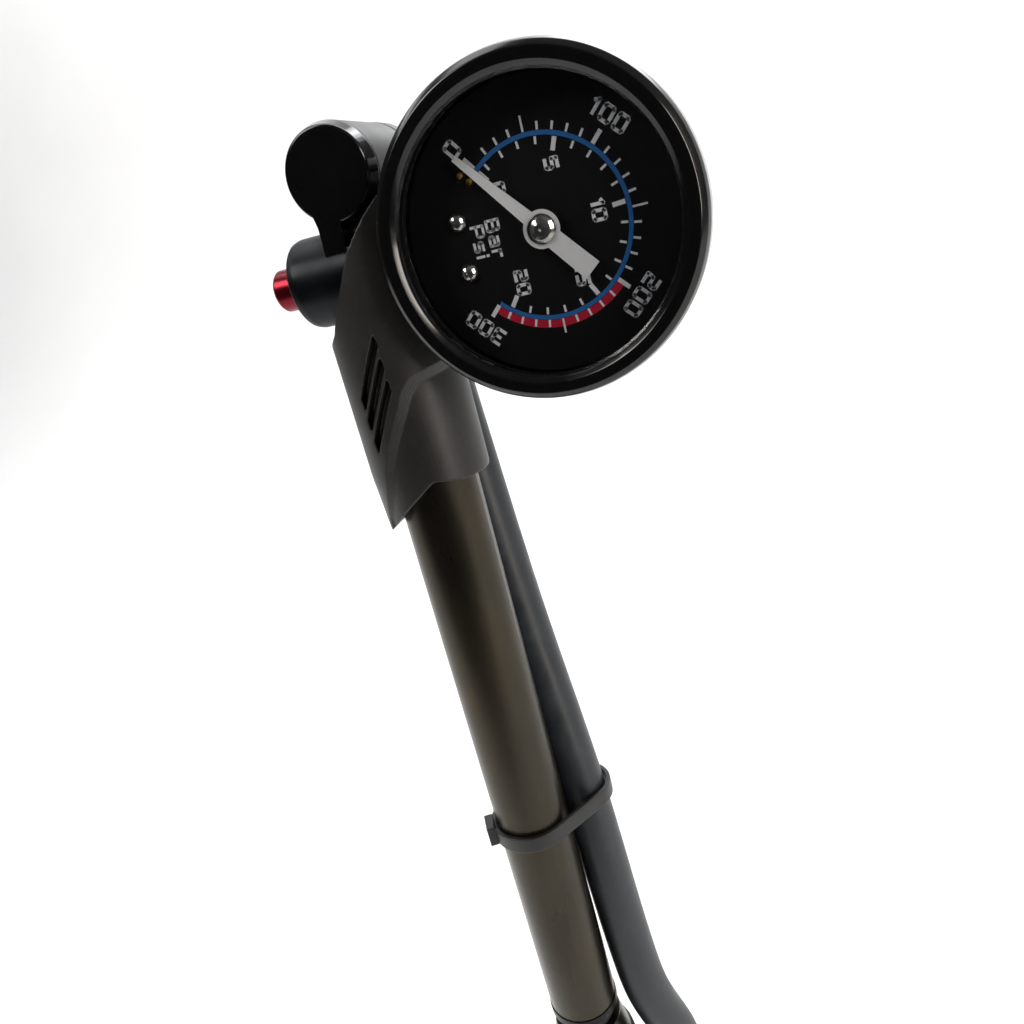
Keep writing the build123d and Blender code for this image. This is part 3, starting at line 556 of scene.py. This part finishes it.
# Letter height, width, stroke and gap, in scale radii
PSI_TYPE = (0.165, 0.115, 0.040, 0.065)
BAR_TYPE = (0.135, 0.10, 0.040, 0.055)
UNIT_TYPE = (0.145, 0.118, 0.031, 0.06)
PLUS_X = np.array([1.0, 0.0])
# Bar figure: its radius, in scale radii
BAR_FIGURES = {0: 0.68, 5: 0.69, 10: 0.66, 15: 0.68, 20: 0.655}


def words(text, centre, up, sizes):
    """Stroked letters centred on a point, with their tops towards up."""
    height, width, stroke, gap = (SCALE_R * part for part in sizes)
    read = np.array([up[1], -up[0]])
    pen = -(sum(GLYPHS[letter][0] * width for letter in text) + gap * (len(text) - 1)) / 2
    boxes = []
    for letter in text:
        glyph_width, lines = GLYPHS[letter]
        for line in lines:
            points = [centre + (pen + x * width) * read + (y - 0.5) * height * up
                      for x, y in line]
            boxes += [stroke_box(start, end, stroke, overrun=0.55)
                      for start, end in zip(points, points[1:])]
        pen += glyph_width * width + gap
    return boxes


letters = []
for psi in (0, 100, 200, 300):
    centre = on_dial(psi or ZERO_PSI, 1.355)
    letters += words(str(psi), centre, centre / np.linalg.norm(centre), PSI_TYPE)
for bar, radius in BAR_FIGURES.items():
    centre = on_dial(PSI_PER_BAR * bar or ZERO_PSI + 0.7, radius)
    letters += words(str(bar), centre, PLUS_X, BAR_TYPE)
for unit, x in (("Bar", -0.585), ("Psi", -0.782)):
    letters += words(unit, SCALE_R * np.array([x, 0.02]), PLUS_X, UNIT_TYPE)
print_flat("scale_figures", letters, "ink_white", thick=0.03)

# ---------------------------------------------------------------- dial rivets and needle cap
RIVET_OUTLINE = [
    (0, -9.62, 0.2), (0.5, -9.57, 0.2), (1.0, -9.38, 0.2), (1.4, -9.05, 0.2),
    (1.66, -8.62, 0.2), (1.7, -8.42, 0.2), (0, -8.42, 0.2)]
for side in (1, -1):
    lathe("dome_%d" % side, "dial_rivets", "chrome", "Y",
          (GAUGE_X - SCALE_R, 0, AXIS_Z + 0.29 * SCALE_R * side), 64, RIVET_OUTLINE, 60)
lathe("needle_dome", "needle_cap", "chrome", "Y", GAUGE, 96, [
    (0, -11.3, 0.4), (0.9, -11.22, 0.4), (1.7, -10.95, 0.4), (2.3, -10.5, 0.4),
    (2.62, -9.98, 0.4), (0, -9.98, 0.4)], 60)

# ---------------------------------------------------------------- hub ring and button
# Outlines are (radius, x, corner radius).
lathe("hub_end_ring", "hub_ring", "dark_ring", "X", HUB, 128, [
    (4.1, -15.7, 0.2), (6.1, -15.7, 0.4), (6.95, -15.1, 0.3), (6.95, -13.55, 0.1),
    (4.1, -13.55, 0.1)])
lathe("button_red", "bleed_button", "red_anodise", "X", HUB, 96, [
    (0, -20.8, 0), (3.5, -20.8, 0.35), (4.0, -20.2, 0.4), (4.0, -13.45, 0.1),
    (4.9, -13.45, 0.1), (4.9, -12.4, 0.1), (1.03, -12.4, 0.05), (1.03, -18.2, 0.05),
    (0, -18.2, 0)])


# ---------------------------------------------------------------- springs
def coil(node):
    """A copy of the spring, with its own mesh, that shows instead of it and rides where it rides.
    """
    part = link_object(node + "_coil", frame["nodes"][node].data.copy())
    stand_in(part, node)
    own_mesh(part)


coil("bleed_spring")
coil("check_spring")

# ---------------------------------------------------------------- hose
HOSE_R = 5.75
HOSE_BORE_R = 2.6
# x, y, z of the centre line, from the top down
HOSE_STATIONS = [
    (-1.0, 18.7, AXIS_Z + 8.0), (-1.0, 18.7, AXIS_Z), (-0.1, 18.7, AXIS_Z - 25.0),
    (1.3, 18.0, AXIS_Z - 47.0), (4.6, 15.5, AXIS_Z - 86.0), (10.15, 10.35, AXIS_Z - 129.0),
    (14.2, 6.3, AXIS_Z - 180.0), (15.6, 5.9, 62.0), (18.4, 6.9, 51.0), (20.2, 7.8, 42.0),
    (20.2, 7.8, 33.0),
]


def spline(stations, count, end_slope):
    """Clamped cubic through the stations with chord-length knots."""
    points = np.array(stations, float)
    chords = np.linalg.norm(np.diff(points, axis=0), axis=1)
    knots = np.concatenate([[0], np.cumsum(chords)])
    last = len(points) - 1
    matrix = np.zeros((last + 1, last + 1))
    target = np.zeros((last + 1, 3))
    matrix[0, 0] = matrix[-1, -1] = 1
    target[0] = target[-1] = end_slope
    for i in range(1, last):
        a, b = chords[i - 1], chords[i]
        matrix[i, i - 1:i + 2] = b, 2 * (a + b), a
        target[i] = 3 * (b * (points[i] - points[i - 1]) / a
                         + a * (points[i + 1] - points[i]) / b)
    slopes = np.linalg.solve(matrix, target)
    path = []
    for s in np.linspace(0, knots[-1], count):
        i = min(max(int(np.searchsorted(knots, s) - 1), 0), last - 1)
        chord = chords[i]
        u = (s - knots[i]) / chord
        path.append((2 * u**3 - 3 * u**2 + 1) * points[i]
                    + (u**3 - 2 * u**2 + u) * chord * slopes[i]
                    + (-2 * u**3 + 3 * u**2) * points[i + 1]
                    + (u**3 - u**2) * chord * slopes[i + 1])
    return np.array(path)


def tube(name, path, outer, inner, material, segments):
    """Hollow tube along a path, closed by a flat ring at each end."""
    tangents = np.gradient(path, axis=0)
    tangents /= np.linalg.norm(tangents, axis=1)[:, None]
    across = np.array([1.0, 0, 0])
    rings = []
    for point, tangent in zip(path, tangents):
        across = across - tangent * (across @ tangent)
        across /= np.linalg.norm(across)
        rings.append((point, across, np.cross(tangent, across)))
    verts, faces = [], []
    for radius in (outer, inner):
        for point, u, v in rings:
            for s in range(segments):
                angle = 2 * math.pi * s / segments
                verts.append(tuple(point + radius * (math.cos(angle) * u + math.sin(angle) * v)))
    bore = len(path) * segments     # first vertex of the inner wall
    for i in range(len(path) - 1):
        ring, after = i * segments, (i + 1) * segments
        for s in range(segments):
            t = (s + 1) % segments
            faces.append((ring + s, ring + t, after + t, after + s))
            faces.append((bore + ring + s, bore + after + s, bore + after + t, bore + ring + t))
    for ring in (0, bore - segments):
        for s in range(segments):
            t = (s + 1) % segments
            faces.append((ring + s, ring + t, bore + ring + t, bore + ring + s))
    return smooth_mesh(name, verts, faces, material)


hose_path = spline(HOSE_STATIONS, count=220, end_slope=(0, 0, -1))
stand_in(tube("hose_line_soft", hose_path, HOSE_R, HOSE_BORE_R, "hose_rubber", segments=56), "hose")

# ---------------------------------------------------------------- floor
FLOOR_Z = -128.0                    # below the handle pulled fully out, so it never hides it
FLOOR_X = (-5500, 4500)
FLOOR_FRONT_Y = -400
BEND_Y = 1200                       # where the floor starts to curve up
BEND_R = 900
BEND_STEPS = 24
WALL_TOP = 4000                     # above the floor


def stage_sheet():
    """Floor that sweeps up into a pale backdrop behind the pump."""
    line = [(FLOOR_FRONT_Y, 0)]     # y, height above the floor
    for i in range(BEND_STEPS + 1):
        angle = math.pi / 2 * i / BEND_STEPS
        line.append((BEND_Y + BEND_R * math.sin(angle), BEND_R * (1 - math.cos(angle))))
    line.append((BEND_Y + BEND_R, WALL_TOP))
    verts = [(x, y, z + FLOOR_Z) for y, z in line for x in FLOOR_X]
    faces = [(i, i + 1, i + 3, i + 2) for i in range(0, 2 * (len(line) - 1), 2)]
    m = MaterialNodes("paper")
    place = m.coords()
    fibre = m.noise(place, scale=900.0, detail=5.0, rough=0.6)
    cloud = m.noise(place, scale=2.5, detail=3.0, rough=0.5)
    colour = m.ramp(cloud, [(0.3, (0.86, 0.86, 0.86, 1)), (0.7, (0.9, 0.9, 0.9, 1))])
    m.shade(colour, roughness=0.85, normal=m.bump(fibre, strength=0.15, distance=3e-5))
    smooth_mesh("paper_sweep", verts, faces, "paper", sharp_angle=60)


stage_sheet()


# ---------------------------------------------------------------- lights, in metres and watts
def lamp(name, place, size, power, target=(0.01, 0.0, 0.2), colour=(1, 1, 1)):
    """Rectangular lamp facing its target, by default the middle of the pump."""
    light = bpy.data.lights.new(name, "AREA")
    light.shape = "RECTANGLE"
    light.size, light.size_y = size
    light.energy = power
    light.color = colour
    part = link_object(name, light)
    part.location = place
    part.rotation_mode = "QUATERNION"
    part.rotation_quaternion = (Vector(target) - Vector(place)).to_track_quat("-Z", "Y")


lamp("key", (-0.75, -0.75, 1.05), size=(0.5, 0.5), power=10, colour=(1.0, 0.97, 0.93))
lamp("fill", (1.2, -0.75, 0.5), size=(0.28, 1.0), power=13, colour=(1.0, 0.93, 0.84))
lamp("rim", (0.3, 0.8, 0.9), size=(0.7, 0.4), power=3, colour=(0.93, 0.97, 1.0))
lamp("wash_wall", (-0.7, 0.95, 2.3), size=(4.6, 0.7), power=62, target=(-1.2, 2.1, 0.6))
lamp("wash_floor", (0.0, 0.7, 2.2), size=(3.0, 0.7), power=26, target=(-0.3, 1.0, 0.0))


# ---------------------------------------------------------------- world
def build_world():
    """The camera sees plain white past the paper's edge; reflections see a dim room."""
    bright_side = (0.62, 0.62, 0.48)
    world = bpy.data.worlds.new("studio")
    bpy.context.scene.world = world
    world.use_nodes = True
    w = Nodes(world.node_tree)
    direction = w.add("TexCoord").outputs["Generated"]
    facing = w.add("VectorMath", {0: direction, 1: bright_side}, operation="DOT_PRODUCT")
    room = w.ramp(w.remap(facing.outputs["Value"], to=(0.0, 1.0), source=(-1.0, 1.0)), [
        (0.25, (0.03, 0.03, 0.032, 1)), (0.6, (0.12, 0.12, 0.125, 1)),
        (1.0, (0.5, 0.49, 0.48, 1))])
    seen = w.add("LightPath").outputs["Is Camera Ray"]
    background = w.tree.nodes["Background"]
    background.inputs["Strength"].default_value = 1.0
    w.tree.links.new(w.mix(seen, room, (1, 1, 1, 1)), background.inputs["Color"])


build_world()

# ---------------------------------------------------------------- camera, in metres
CAMERA_PLACE = (0.070, -0.1497, (AXIS_Z + 3.0) * MM)
CAMERA_FORWARD = (-0.331, 0.886, -0.324)
CAMERA_RIGHT = (0.935, 0.264, -0.235)       # squared up to the forward direction below


def place_camera():
    camera = bpy.data.cameras.new("camera")
    camera.sensor_width = 36.0
    camera.lens = 29.355
    camera.clip_start, camera.clip_end = 0.005, 50
    part = link_object("camera", camera)
    forward = Vector(CAMERA_FORWARD).normalized()
    right = Vector(CAMERA_RIGHT)
    right = (right - forward * right.dot(forward)).normalized()
    up = right.cross(forward)
    rows = [(right[i], up[i], -forward[i], CAMERA_PLACE[i]) for i in range(3)]
    part.matrix_world = Matrix(rows + [(0, 0, 0, 1)])
    bpy.context.scene.camera = part


place_camera()
bpy.context.scene.view_settings.view_transform = "Standard"
